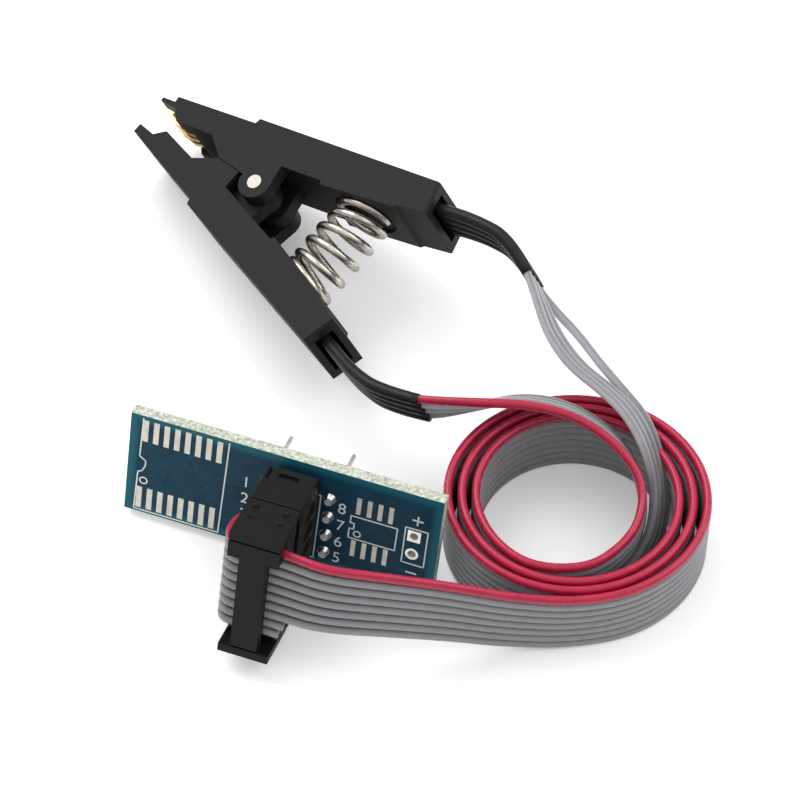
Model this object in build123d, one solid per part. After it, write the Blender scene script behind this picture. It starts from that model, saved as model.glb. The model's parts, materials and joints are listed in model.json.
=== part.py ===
from build123d import *
import math
import os

# A spring test clip for an eight lead chip, its flat cable and its pin adapter board, laid on a table.
# Millimetres, +Z up, the table at Z 0.
# Clip frame: X from jaws to handles, Y across the jaws, Z along the pivot.

# Clip
CLIP_WIDTH = 10.0            # along the pivot
JAW_REACH = 18.7             # pivot to jaw tip
HANDLE_REACH = 20.25         # pivot to the outer corner of a handle's end
HANDLE_SPREAD = 12.2         # clip centreline to that corner
HANDLE_END_DEPTH = 4.2       # length of a handle's slanted end face
HANDLE_END_LEAN = 16.7       # degrees that end face leans back
GRIP_STEP_X = -5.6           # where the thicker finger grip starts
GRIP_STEP = 0.75
GRIP_RAMP = 0.15             # length of the slope up that step
JAW_TIP_OUT = 3.1            # centreline to the outside of a jaw tip
JAW_TIP_IN = 1.9
GRIP_FOOT_OUT = 6.0          # centreline to the outside, just before the grip step
STOP_GAP = 0.04              # each jaw's stop stays this far from the centreline
STOP_START = -6.3
STOP_END = -2.75
THROAT = (-9.4, 1.85)        # deepest point of the slot between the jaws
RIDGE = (-14.9, 0.85)        # the ridge that a chip's edge meets
NOTCH = (-16.2, 2.1)
LUG_RADIUS = 2.1
LUG_BAY_DEPTH = 2.45         # clear depth that the other arm's lugs turn in
LUG_OUTER = (3.0, 5.0)       # the outer lug, along the pivot from the middle
LUG_INNER = (-2.9, -0.9)
LUG_NECK = (1.5, 3.4)
LUG_ROOT = 0.55              # how far a lug's root reaches into the arm
SEAT_STEP_X = 7.3
SEAT_STEP = 0.45
SEAT_RAMP = 0.35
SEAT_RECESS = 0.45           # depth of the spring's round seat
SEAT_CLEARANCE = 0.3
REAR_STEP_X = 17.5           # where the inner face steps back near the handle's end
REAR_STEP = 0.3
REAR_RAMP = 0.3
JAW_CHEEK = 2.0              # side wall beside the contacts
NOSE_STEP_LENGTH = 1.6
NOSE_STEP_DEPTH = 0.7
NOSE_STEP_DRAFT = 0.2
PIVOT_RADIUS = 0.9
PIVOT_CLEARANCE = 0.03
PIVOT_PROUD = 0.1            # how far each end of the pin stands out
POCKET_HEIGHT = 2.5          # the pocket in a handle's end that the sleeves go into
POCKET_WALL = 1.5
POCKET_DEPTH = 3.5
CHANNEL_FLOOR = 2.55         # centreline to the floor of the channel between a jaw's cheeks
CHANNEL_BACK = -13.2         # where that channel ends
HANDLE_BEVEL = 0.3
CUT_PAST = 1.0               # cutters run this far past the faces they open

# Contacts, four to a jaw
CONTACT_PITCH = 1.27
CONTACT_WIDTH = 0.7
CONTACT_THICKNESS = 0.3
CONTACT_CLEARANCE = 0.05
CONTACT_LINE = [(-15.0, 2.1), (-11.2, 3.35), (-5.0, 4.75)]
CONTACT_HEAD = [(-19.1, 2.45), (-19.1, 1.75), (-18.0, 1.25), (-15.7, 1.15), (-14.5, 1.55), (-14.5, 2.45)]
CONTACTS = 4
CONTACT_IN_POCKET = 0.6      # a contact's end stands this far into the sleeves' pocket

# Spring between the handles
SPRING_X = 11.8
SPRING_DIAMETER = 7.3
SPRING_WIRE = 1.0
SPRING_TURNS = 5.5
SPRING_POINTS_PER_TURN = 12
SPRING_SEAT_GAP = 0.04

# Middle of the clip's and board's outline on the table, which becomes the origin
TABLE_MIDDLE = (-12.1, 4.75)

# Where the clip lies
CLIP_PLACE = (-15.5, 22.5, 8.7)
CLIP_TURN = -45.4
CLIP_RISE = 10.0
CLIP_ROLL = 17.9

# Sleeves and leads
SLEEVE_DIAMETER = 1.3
SLEEVE_PITCH = 1.5
SLEEVE_END_PITCH = 1.4
SLEEVE_GRIP = 2.0            # length of a sleeve inside its pocket
SLEEVE_STRAIGHT = 1.2        # straight length in front of the handle's end
LEAD_DIAMETER = 0.95
LEAD_PITCH = 1.27
LEAD_GAP = 0.35              # a lead's start beyond the end of its sleeve
UPPER_SLEEVE_POINTS = [(9.6, 12.2, 17.0), (13.2, 9.6, 17.2), (15.3, 5.9, 15.7)]
LOWER_SLEEVE_POINTS = [(-4.6, -4.4, 10.4), (-1.6, -7.4, 11.2), (2.8, -9.2, 12.0)]
UPPER_LEAD_POINTS = [
    (16.6, 2.4, 15.0), (18.0, -1.2, 14.4), (20.4, -4.9, 13.9), (23.9, -7.9, 13.6), (26.8, -11.0, 12.9),
    (28.7, -14.6, 10.4), (29.5, -18.6, 7.4), (28.7, -22.5, 4.8), (26.2, -25.9, 3.0), (22.4, -28.4, 2.54),
]
LOWER_LEAD_POINTS = [
    (8.4, -10.0, 13.1), (14.2, -10.3, 13.0), (19.8, -11.7, 12.0), (24.6, -14.6, 10.2), (27.4, -18.8, 8.6),
    (26.8, -23.2, 7.8), (24.2, -26.6, 7.62), (20.6, -29.0, 7.62),
]

# Flat cable
RIBBON_WIRES = 8
RIBBON_THICKNESS = 1.0
COIL_CENTRE = (19.6, -19.6)
COIL_OUTER = (15.0, 13.9)    # half width and half depth
COIL_WALL = 3.6
RUN_END = (15.5, -33.0)      # where the run from the plug meets the coil
RUN_OUT = 0.6                # the run starts this far beyond the plug's side

# Adapter board
BOARD_LENGTH = 37.2
BOARD_HEIGHT = 13.8
BOARD_THICKNESS = 1.6
BOARD_PLACE = (-31.2, -14.1, 0.6)
BOARD_TURN = -19.1
BOARD_LEAN = 19.4
PIN_PITCH = 2.54
HEADER_X = 20.3              # board's left end to the header's middle
HEADER_Z = 6.9               # board's lower edge to the header's middle
ROW_SPACING = 7.62           # between the two rows of plug-in pins
LEG_Z = 5.9                  # board's lower edge to the middle of those rows
PINS_PER_ROW = 4
LEG_RADIUS = 0.42            # plug-in pins, where the strip and the board hold them
LEG_TAIL_RADIUS = 0.25       # and where they stand free
LEG_LENGTH = 7.0             # plug-in pins behind the board
LEG_FRONT = 0.7
STRIP_SIZE = 2.4             # the plastic strips that hold the plug-in pins
HEADER_HEIGHT = 2.4
HEADER_PIN = 0.64
HEADER_PIN_OUT = 5.0         # header pins in front of their base
HEADER_PIN_BACK = 0.9
HOLE_CLEARANCE = 0.05
SOLDER_RADIUS = 0.8
SOLDER_TOP_RADIUS = 0.55
SOLDER_HEIGHT = 0.6
POWER_X = 34.3
POWER_Z = 6.7                # middle of the two power holes
POWER_HOLE_RADIUS = 0.5
POWER_PAD = 1.55
PAD_HEIGHT = 0.05

# Plug on the flat cable, with one more place in each row than the header has
PLUG_PLACES = 5
FOLD_WIRES = 10              # wires in the plug, the lowest two cut short beside it
PLUG_WIDTH = 5.9
PLUG_LENGTH = 15.0
PLUG_GAP = 0.1               # between the plug and the header's base
PLUG_BODY = 5.7
PLUG_COVER = 3.4
PLUG_BORE = 0.9
PIN_TIP_GAP = 0.3            # between a header pin's tip and the end of its bore
LEAF_GAP = 0.03              # between a contact's leaf and the pin
LEAF_MOUTH = 1.0             # the leaves start this far inside the bore
PLUG_SLOT = (2.3, 0.85, 0.6) # the slot across each end of the body: width, height and depth
PLUG_SLOT_PLACE = (-0.15, 0.85)
PLUG_GROOVE = (0.35, 2.3, 0.4)  # the narrow groove up each end
PLUG_GROOVE_X = -2.4
PLUG_WINDOW = (0.6, 2.9, 1.7)   # the windows along each side: depth, height and length
PLUG_WINDOW_FOOT = 0.4       # from the plug's mouth to the windows
EAR = (0.3, 1.1, 0.2)        # the bent ear of a contact, seen in each window
EAR_FOOT = 1.0
COVER_ROUND = 0.6
STRAP_LEG = 1.05
STRAP_BAR_WIDTH = 3.1
STRAP_BAR = 1.7
STRAP_CLEARANCE = 0.05
STRAP_SHOULDER = 3.4         # length of the bar's wide upper end
STRAP_GROOVE = (0.25, 0.3)   # the line across the bar beside each leg: width and depth
STRAP_FOOT = 0.25            # gap between a strap leg and the ledge on the body's end
LEDGE_TOP = 6.1              # the plug's mouth to the top of those ledges
LEDGE_LOW = 2.8              # and to the foot of the ledge at the lower end
BUMP_RADIUS = 0.4
BUMP_SPACING = 3.6
BUMP_HEIGHT = 1.4
DIMPLE_RADIUS = 0.3
DIMPLE_HEIGHT = 3.5
FOLD_OUT = 1.5               # how far the cable's fold stands out beside the cover
FOLD_RADIUS = 0.95


def solid_between(points, depth_from, depth_to):
    face = make_face(Polyline(*points, close=True))
    return Pos(0, 0, depth_from) * extrude(face, amount=depth_to - depth_from, dir=(0, 0, 1))


def box_between(low, high):
    size = [b - a for a, b in zip(low, high)]
    return Pos(*low) * Box(*size, align=(Align.MIN, Align.MIN, Align.MIN))


def spread(count, pitch):
    return [(i - (count - 1) / 2) * pitch for i in range(count)]


# The largest tangent arc that fits at each corner of a route
def route_path(points):
    places = [Vector(*p) for p in points]
    radii = []
    for before, here, after in zip(places, places[1:], places[2:]):
        half_turn = math.radians((here - before).get_angle(after - here)) / 2
        shorter = min((here - before).length, (after - here).length)
        radii.append(0.45 * shorter / math.tan(half_turn))
    return FilletPolyline(*points, radius=radii), radii


def tube_along(name, points, diameter):
    path, radii = route_path(points)
    ring = Plane(origin=path @ 0, z_dir=path % 0) * Circle(diameter / 2)
    tube = sweep(ring, path=path)
    expected = math.pi * diameter**2 / 4 * path.length
    print(name, "length", round(path.length, 1), "radii", [round(r, 1) for r in radii],
          "volume ratio", round(tube.volume / expected, 3))
    return tube


# Clip arm: the upper one, with the lower one as the same moulding turned over
half_width = CLIP_WIDTH / 2
end_lean = math.radians(HANDLE_END_LEAN)
handle_out = (HANDLE_REACH, HANDLE_SPREAD)
handle_in = (
    HANDLE_REACH + HANDLE_END_DEPTH * math.sin(end_lean),
    HANDLE_SPREAD - HANDLE_END_DEPTH * math.cos(end_lean),
)
bay_corner = (STOP_END, LUG_BAY_DEPTH)
grip_slope = (HANDLE_SPREAD - GRIP_FOOT_OUT - GRIP_STEP) / (HANDLE_REACH - GRIP_STEP_X)
seat_before = (SEAT_STEP_X - SEAT_RAMP / 2, LUG_BAY_DEPTH + grip_slope * (SEAT_STEP_X - STOP_END))
seat_after = (SEAT_STEP_X + SEAT_RAMP / 2, seat_before[1] - SEAT_STEP)
handle_angle = math.atan2(handle_in[1] - seat_after[1], handle_in[0] - seat_after[0])
rear_after, rear_before = [
    (x, seat_after[1] + math.tan(handle_angle) * (x - seat_after[0]) - drop)
    for x, drop in ((REAR_STEP_X + REAR_RAMP / 2, 0.0), (REAR_STEP_X - REAR_RAMP / 2, REAR_STEP))
]
inner_angle = math.atan2(rear_before[1] - seat_after[1], rear_before[0] - seat_after[0])
seat_middle = seat_after[1] + math.tan(inner_angle) * (SPRING_X - seat_after[0])

arm_outline = [
    (-JAW_REACH, JAW_TIP_OUT),
    (GRIP_STEP_X, GRIP_FOOT_OUT),
    (GRIP_STEP_X + GRIP_RAMP, GRIP_FOOT_OUT + GRIP_STEP),
    handle_out,
    handle_in,
    rear_after,
    rear_before,
    seat_after,
    seat_before,
    bay_corner,
    (STOP_END, STOP_GAP),
    (STOP_START, STOP_GAP),
    THROAT,
    RIDGE,
    NOTCH,
    (-JAW_REACH, JAW_TIP_IN),
]
arm = solid_between(arm_outline, -half_width, half_width)
rear_edges = [
    e for e in arm.edges().filter_by(Plane.XY)
    if e.center().X > HANDLE_REACH and abs(abs(e.center().Z) - half_width) < 0.01
]
arm = chamfer(rear_edges, HANDLE_BEVEL)

# Two lugs on the pivot, between the other arm's two
neck = [
    (STOP_END, STOP_GAP),
    (LUG_RADIUS, STOP_GAP),
    LUG_NECK,
    (LUG_NECK[0], LUG_NECK[1] + LUG_ROOT),
    (STOP_END, LUG_BAY_DEPTH + LUG_ROOT),
]
for low, high in (LUG_OUTER, LUG_INNER):
    arm += solid_between(neck, low, high)
    arm += Pos(0, 0, (low + high) / 2) * Cylinder(LUG_RADIUS, high - low)
arm -= Cylinder(PIVOT_RADIUS + PIVOT_CLEARANCE, CLIP_WIDTH + 2 * CUT_PAST)

# Channel between the jaw's cheeks, with the contacts' heads under its floor
end_middle = ((handle_out[0] + handle_in[0]) / 2, (handle_out[1] + handle_in[1]) / 2)
contact_back = POCKET_DEPTH - CONTACT_IN_POCKET
contact_end = (end_middle[0] - contact_back, end_middle[1] - math.tan(handle_angle) * contact_back)
contact_points = CONTACT_LINE + [contact_end]
channel_half = half_width - JAW_CHEEK
channel_front = -JAW_REACH - CUT_PAST
arm -= box_between((channel_front, -CUT_PAST, -channel_half), (CHANNEL_BACK, CHANNEL_FLOOR, channel_half))

# Slots that hold the contacts, and the pocket that the sleeves go into
slot_face = trace(Polyline(*contact_points), CONTACT_THICKNESS + 2 * CONTACT_CLEARANCE)
slot = extrude(slot_face, amount=CONTACT_WIDTH / 2 + CONTACT_CLEARANCE, both=True)
contact_face = trace(Polyline(*contact_points), CONTACT_THICKNESS)
contact_face += make_face(Polyline(*CONTACT_HEAD, close=True))
contact = extrude(contact_face, amount=CONTACT_WIDTH / 2, both=True)
for z in spread(CONTACTS, CONTACT_PITCH):
    arm -= Pos(0, 0, z) * slot
pocket_frame = Pos(end_middle[0], end_middle[1], 0) * Rot(0, 0, math.degrees(handle_angle))
pocket = box_between(
    (-POCKET_DEPTH, -POCKET_HEIGHT / 2, -half_width + POCKET_WALL),
    (3 * CUT_PAST, POCKET_HEIGHT / 2, half_width - POCKET_WALL),
)
arm -= pocket_frame * pocket

# Round seat for the spring, square to the slanted inner face
seat_frame = Pos(SPRING_X, seat_middle, 0) * Rot(0, 0, math.degrees(inner_angle)) * Rot(90, 0, 0)
seat_radius = SPRING_DIAMETER / 2 + SEAT_CLEARANCE
arm -= seat_frame * Cylinder(seat_radius, 2 * SEAT_RECESS)

# Step beside the tip, on the outer side of one cheek
nose_start = -JAW_REACH + NOSE_STEP_LENGTH
nose_slope = (GRIP_FOOT_OUT - JAW_TIP_OUT) / (JAW_REACH + GRIP_STEP_X)
nose_cut = [
    (channel_front, JAW_TIP_OUT - NOSE_STEP_DEPTH - nose_slope * CUT_PAST),
    (nose_start + NOSE_STEP_DRAFT, JAW_TIP_OUT - NOSE_STEP_DEPTH + nose_slope * NOSE_STEP_LENGTH),
    (nose_start, JAW_TIP_OUT + CUT_PAST),
    (channel_front, JAW_TIP_OUT + CUT_PAST),
]
arm -= solid_between(nose_cut, channel_half, half_width + CUT_PAST)

clip_frame = Pos(*CLIP_PLACE) * Rot(0, 0, CLIP_TURN) * Rot(0, -CLIP_RISE, 0) * Rot(CLIP_ROLL, 0, 0)
turned_over = Rot(180, 0, 0)
nodes = {"upper_arm": clip_frame * arm, "lower_arm": clip_frame * turned_over * arm}
nodes["pivot_pin"] = clip_frame * Cylinder(PIVOT_RADIUS, CLIP_WIDTH + 2 * PIVOT_PROUD)
for number, z in enumerate(spread(CONTACTS, CONTACT_PITCH), 1):
    nodes[f"upper_contact_{number}"] = clip_frame * Pos(0, 0, z) * contact
    nodes[f"lower_contact_{number}"] = clip_frame * turned_over * Pos(0, 0, z) * contact

# Spring whose coils fan out with the handles, so that each end lies in its seat
coil_radius = (SPRING_DIAMETER - SPRING_WIRE) / 2
spring_reach = seat_middle + (SEAT_RECESS - SPRING_WIRE / 2 - SPRING_SEAT_GAP) / math.cos(inner_angle)
spring_points = []
steps = round(SPRING_TURNS * SPRING_POINTS_PER_TURN)
for step in range(steps + 1):
    along = step / steps
    settled = min(1.0, max(0.0, (along * SPRING_TURNS - 0.5) / (SPRING_TURNS - 1)))
    side = 2 * settled - 1
    tilt = inner_angle * side
    turn = math.pi + 2 * math.pi * SPRING_TURNS * along
    spring_points.append((
        SPRING_X + coil_radius * math.cos(turn) * math.cos(tilt),
        spring_reach * side + coil_radius * math.cos(turn) * math.sin(tilt),
        -coil_radius * math.sin(turn),
    ))
spring_path = Spline(*spring_points)
spring_ring = Plane(origin=spring_path @ 0, z_dir=spring_path % 0) * Circle(SPRING_WIRE / 2)
nodes["spring"] = clip_frame * sweep(spring_ring, path=spring_path, is_frenet=True)

# Sleeves and leads, stacked along the pivot at the handles and one above another in the cable
pivot_way = (clip_frame * Pos(0, 0, 1)).position - clip_frame.position


def sleeve_and_leads(side, sleeve_points, lead_points, first_wire):
    flip = Location() if side == "upper" else turned_over
    inside = clip_frame * flip * pocket_frame * Pos(-SLEEVE_GRIP, 0, 0)
    mouth = clip_frame * flip * pocket_frame * Pos(SLEEVE_STRAIGHT, 0, 0)
    for number, rank in enumerate(spread(CONTACTS, 1.0), 1):
        start = [tuple(place.position + pivot_way * rank * SLEEVE_PITCH) for place in (inside, mouth)]
        middle = [tuple(Vector(*p) + pivot_way * rank * (SLEEVE_PITCH + SLEEVE_END_PITCH) / 2)
                  for p in sleeve_points[:-1]]
        last = Vector(*sleeve_points[-1]) + pivot_way * rank * SLEEVE_END_PITCH
        nodes[f"{side}_sleeve_{number}"] = tube_along(
            f"{side}_sleeve_{number}", start + middle + [tuple(last)], SLEEVE_DIAMETER)
        route = [Vector(x, y, z + rank * LEAD_PITCH) for x, y, z in lead_points]
        start_of_lead = last + (route[0] - last).normalized() * LEAD_GAP
        route = [tuple(p) for p in [start_of_lead] + route]
        wire = first_wire + number
        nodes[f"lead_{wire}"] = tube_along(f"lead_{wire}", route, LEAD_DIAMETER)


sleeve_and_leads("upper", UPPER_SLEEVE_POINTS, UPPER_LEAD_POINTS, 0)
sleeve_and_leads("lower", LOWER_SLEEVE_POINTS, LOWER_LEAD_POINTS, CONTACTS)

# Coil of the flat cable, one ring standing on the table
ribbon_width = RIBBON_WIRES * LEAD_PITCH
coil = extrude(Ellipse(*COIL_OUTER), amount=ribbon_width)
coil -= extrude(Ellipse(*(r - COIL_WALL for r in COIL_OUTER)), amount=ribbon_width)
nodes["ribbon_coil"] = Pos(*COIL_CENTRE, 0) * coil

# Board frame: X along the board, Y out of its back, Z up the board
board_frame = Pos(*BOARD_PLACE) * Rot(0, 0, BOARD_TURN) * Rot(-BOARD_LEAN, 0, 0)
front = -BOARD_THICKNESS
board = box_between((0, front, 0), (BOARD_LENGTH, 0, BOARD_HEIGHT))
rows = spread(PINS_PER_ROW, PIN_PITCH)
leg_places = [(HEADER_X + x, LEG_Z + z) for x in spread(2, ROW_SPACING) for z in rows]
pin_places = [(HEADER_X + x, HEADER_Z + z) for x in spread(2, PIN_PITCH) for z in rows]
through = 4 * BOARD_THICKNESS
for x, z in leg_places:
    board -= Pos(x, 0, z) * Rot(90, 0, 0) * Cylinder(LEG_RADIUS + HOLE_CLEARANCE, through)
pin_hole = HEADER_PIN / math.sqrt(2) + HOLE_CLEARANCE
for x, z in pin_places:
    board -= Pos(x, 0, z) * Rot(90, 0, 0) * Cylinder(pin_hole, through)
power_places = [(POWER_X, POWER_Z + z) for z in spread(2, PIN_PITCH)]
for x, z in power_places:
    board -= Pos(x, 0, z) * Rot(90, 0, 0) * Cylinder(POWER_HOLE_RADIUS, through)
nodes["adapter_board"] = board_frame * board

# Plug-in pins in their two strips, and their solder on the front
collar_length = STRIP_SIZE + BOARD_THICKNESS + LEG_FRONT
tail_length = LEG_LENGTH - STRIP_SIZE
legs, strips, solder = [], [], []
for x, z in leg_places:
    collar = Cylinder(LEG_RADIUS, collar_length, align=(Align.CENTER, Align.CENTER, Align.MIN))
    tail = Cylinder(LEG_TAIL_RADIUS, tail_length, align=(Align.CENTER, Align.CENTER, Align.MAX))
    legs.append(Pos(x, STRIP_SIZE, z) * Rot(90, 0, 0) * (collar + tail))
    cone = Rot(90, 0, 0) * Cone(SOLDER_RADIUS, SOLDER_TOP_RADIUS, SOLDER_HEIGHT)
    bead = cone - Rot(90, 0, 0) * Cylinder(LEG_RADIUS + HOLE_CLEARANCE, through)
    solder.append(Pos(x, front - SOLDER_HEIGHT / 2, z) * bead)
for x in spread(2, ROW_SPACING):
    strip = box_between((-STRIP_SIZE / 2, 0, -PINS_PER_ROW * PIN_PITCH / 2),
                        (STRIP_SIZE / 2, STRIP_SIZE, PINS_PER_ROW * PIN_PITCH / 2))
    for z in rows:
        strip -= Pos(0, 0, z) * Rot(90, 0, 0) * Cylinder(LEG_RADIUS + HOLE_CLEARANCE, through)
    strips.append(Pos(HEADER_X + x, 0, LEG_Z) * strip)
nodes["plug_in_pins"] = board_frame * Compound(legs)
nodes["pin_solder"] = board_frame * Compound(solder)
nodes["left_pin_strip"] = board_frame * strips[0]
nodes["right_pin_strip"] = board_frame * strips[1]

# Two by four header on the front
base_half = (PIN_PITCH, PINS_PER_ROW * PIN_PITCH / 2)
base_low = (-base_half[0], front - HEADER_HEIGHT, -base_half[1])
header = Pos(HEADER_X, 0, HEADER_Z) * box_between(base_low, (base_half[0], front, base_half[1]))
half_pin = HEADER_PIN / 2
pins = []
for x, z in pin_places:
    clear = half_pin + HOLE_CLEARANCE
    header -= Pos(x, 0, z) * Box(2 * clear, 8 * HEADER_HEIGHT, 2 * clear)
    pins.append(box_between((x - half_pin, front - HEADER_HEIGHT - HEADER_PIN_OUT, z - half_pin),
                            (x + half_pin, HEADER_PIN_BACK, z + half_pin)))
nodes["header_base"] = board_frame * header
nodes["header_pins"] = board_frame * Compound(pins)

# Plated pads of the power holes: one square, one round
pads = []
for (x, z), square in zip(power_places, (False, True)):
    outline = Rectangle(POWER_PAD, POWER_PAD) if square else Circle(POWER_PAD / 2)
    pad = Rot(90, 0, 0) * extrude(outline - Circle(POWER_HOLE_RADIUS), amount=PAD_HEIGHT / 2, both=True)
    pads.append(Pos(x, front - PAD_HEIGHT / 2, z) * pad)
nodes["power_pads"] = board_frame * Compound(pads)

# Plug frame: X across the plug, Y out of the board's back, Z along the plug.
# The header's pins fill its upper places, and its lowest pair is empty.
plug_z = HEADER_Z - (PLUG_PLACES - PINS_PER_ROW) * PIN_PITCH / 2
plug_frame = board_frame * Pos(HEADER_X, front - HEADER_HEIGHT - PLUG_GAP, plug_z)
places = spread(PLUG_PLACES, PIN_PITCH)
half_plug = PLUG_WIDTH / 2
half_length = PLUG_LENGTH / 2
leg_in = half_length + STRAP_CLEARANCE
leg_out = leg_in + STRAP_LEG
body = box_between((-half_plug, -PLUG_BODY, -half_length), (half_plug, 0, half_length))
body += box_between((-half_plug, -LEDGE_TOP, half_length), (half_plug, 0, leg_out))
body += box_between((-half_plug, -LEDGE_TOP, -leg_out), (half_plug, -LEDGE_LOW, -half_length))
bore_depth = HEADER_PIN_OUT - PLUG_GAP + PIN_TIP_GAP
spring_leaf = (PLUG_BORE - HEADER_PIN) / 2 - LEAF_GAP
contacts = []
for x in spread(2, PIN_PITCH):
    for z in places:
        bore = box_between((x - PLUG_BORE / 2, -bore_depth, z - PLUG_BORE / 2),
                           (x + PLUG_BORE / 2, CUT_PAST, z + PLUG_BORE / 2))
        body -= bore
        for way in (-1, 1):
            near = z + way * PLUG_BORE / 2
            far = near - way * spring_leaf
            contacts.append(box_between((x - half_pin, -bore_depth, min(near, far)),
                                        (x + half_pin, -LEAF_MOUTH, max(near, far))))

# Slot and groove in the upper end, and a window with a contact's ear beside each pin
for (width, height, depth), x, foot in (
        (PLUG_SLOT, PLUG_SLOT_PLACE[0], PLUG_SLOT_PLACE[1]), (PLUG_GROOVE, PLUG_GROOVE_X, 0.0)):
    body -= box_between((x - width / 2, -foot - height, leg_out - depth), (x + width / 2, -foot, leg_out))
depth, height, length = PLUG_WINDOW
ear_depth, ear_height, ear_thick = EAR
for side in (-1, 1):
    wall = side * (half_plug - depth / 2)
    ear_x = side * (half_plug - depth + ear_depth / 2)
    for z in places:
        body -= Pos(wall, -PLUG_WINDOW_FOOT - height / 2, z) * Box(depth, height, length)
        ear_z = z - (length - ear_thick) / 2
        contacts.append(Pos(ear_x, -EAR_FOOT - ear_height / 2, ear_z) * Box(ear_depth, ear_height, ear_thick))
nodes["socket_body"] = plug_frame * body
nodes["socket_contacts"] = plug_frame * Compound(contacts)

# Cover over the clamped cable, and the cable's fold round its left side
cover_low = PLUG_BODY + RIBBON_THICKNESS
cover_top = cover_low + PLUG_COVER
cover = box_between((-half_plug, -cover_top, -half_length), (half_plug, -cover_low, half_length))
cover = fillet(cover.edges().filter_by(Axis.Z), COVER_ROUND)
nodes["socket_cover"] = plug_frame * cover
fold_mid = RIBBON_THICKNESS / 2
fold_left = -half_plug - FOLD_OUT + fold_mid
fold_line = FilletPolyline(
    (half_plug, -(PLUG_BODY + fold_mid)),
    (fold_left, -(PLUG_BODY + fold_mid)),
    (fold_left, -(cover_top + fold_mid)),
    (half_plug + RUN_OUT, -(cover_top + fold_mid)),
    radius=FOLD_RADIUS,
)
fold = extrude(trace(fold_line, RIBBON_THICKNESS), amount=FOLD_WIRES * LEAD_PITCH / 2, both=True)
nodes["ribbon_fold"] = plug_frame * fold

# Strain relief: a bar over the fold with a leg down each end of the plug
bar_low = cover_top + RIBBON_THICKNESS
bar_top = bar_low + STRAP_BAR
strap = box_between((-STRAP_BAR_WIDTH / 2, -bar_top, -leg_out), (STRAP_BAR_WIDTH / 2, -bar_low, leg_out))
strap += box_between((-half_plug, -bar_top, leg_out - STRAP_SHOULDER), (half_plug, -bar_low, leg_out))
groove_width, groove_depth = STRAP_GROOVE
for end in (-1, 1):
    z_pair = sorted((end * leg_in, end * leg_out))
    leg = box_between((-half_plug, -bar_top, z_pair[0]), (half_plug, -LEDGE_TOP - STRAP_FOOT, z_pair[1]))
    strap += leg
    groove = Box(PLUG_WIDTH, 2 * groove_depth, groove_width)
    strap -= Pos(0, -bar_top, end * (leg_in - groove_width / 2)) * groove
    for x in spread(2, BUMP_SPACING):
        strap += Pos(x, -LEDGE_TOP - BUMP_HEIGHT, end * leg_out) * Sphere(BUMP_RADIUS)
        strap -= Pos(x, -LEDGE_TOP - DIMPLE_HEIGHT, end * leg_out) * Sphere(DIMPLE_RADIUS)
nodes["strain_relief"] = plug_frame * strap

# Run of the flat cable from the fold down to the coil
run_rise = (FOLD_WIRES - RIBBON_WIRES) * LEAD_PITCH / 2
run_start = plug_frame * Pos(half_plug + RUN_OUT, -(cover_top + fold_mid), run_rise)
start_face = run_start * Rot(0, 90, 0) * Rectangle(ribbon_width, RIBBON_THICKNESS)
end_face = Pos(*RUN_END, ribbon_width / 2) * Rot(0, 90, 0) * Rectangle(ribbon_width, RIBBON_THICKNESS)
nodes["ribbon_run"] = loft([start_face, end_face], ruled=True)

os.makedirs("parts", exist_ok=True)
to_origin = Pos(-TABLE_MIDDLE[0], -TABLE_MIDDLE[1], 0)
for name, shape in nodes.items():
    export_step(to_origin * shape, f"parts/{name}.step")
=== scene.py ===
# %% [markdown]
# # An IC test clip, its flat cable and its adapter board
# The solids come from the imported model, in metres, with +Z up from the table.
# This file dresses them: it adds the cable, rounds the mouldings and prints the board.

# %% Load the frame
import bpy
import bmesh
import json
import math
from mathutils import Matrix, Vector

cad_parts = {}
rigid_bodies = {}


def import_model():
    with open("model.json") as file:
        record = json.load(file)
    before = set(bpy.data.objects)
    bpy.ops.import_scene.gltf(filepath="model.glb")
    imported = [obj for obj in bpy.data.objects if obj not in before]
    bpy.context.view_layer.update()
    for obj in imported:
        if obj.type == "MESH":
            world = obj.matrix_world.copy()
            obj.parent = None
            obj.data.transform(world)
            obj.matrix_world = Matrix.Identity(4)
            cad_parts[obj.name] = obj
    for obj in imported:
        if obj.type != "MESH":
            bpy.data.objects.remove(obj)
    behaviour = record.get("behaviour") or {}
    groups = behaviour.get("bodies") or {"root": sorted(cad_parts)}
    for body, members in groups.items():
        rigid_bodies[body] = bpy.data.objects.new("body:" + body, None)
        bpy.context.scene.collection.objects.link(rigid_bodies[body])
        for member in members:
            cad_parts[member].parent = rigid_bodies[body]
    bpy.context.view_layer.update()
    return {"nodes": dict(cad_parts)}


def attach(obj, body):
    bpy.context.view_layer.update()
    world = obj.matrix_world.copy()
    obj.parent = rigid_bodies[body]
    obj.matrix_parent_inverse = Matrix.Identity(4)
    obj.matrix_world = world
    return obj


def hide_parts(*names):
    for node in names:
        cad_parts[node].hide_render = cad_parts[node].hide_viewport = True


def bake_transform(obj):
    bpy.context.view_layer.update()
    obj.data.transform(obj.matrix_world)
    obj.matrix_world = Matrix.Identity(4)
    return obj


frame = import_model()
nodes = frame["nodes"]
MM = 0.001
print("CAD nodes", len(nodes))

# %% [markdown]
# ## Camera
# The photograph looks down at 56 degrees from far away, with a long lens.
# Its line of sight meets the table at one point, so the camera is set back from that point.

# %% Camera
LOOK_AT = Vector((12.1, -4.75, 0.0)) * MM
ELEVATION = math.radians(56.0)
DISTANCE = 420.0 * MM
VIEW_ANGLE = math.radians(12.777)

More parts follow.
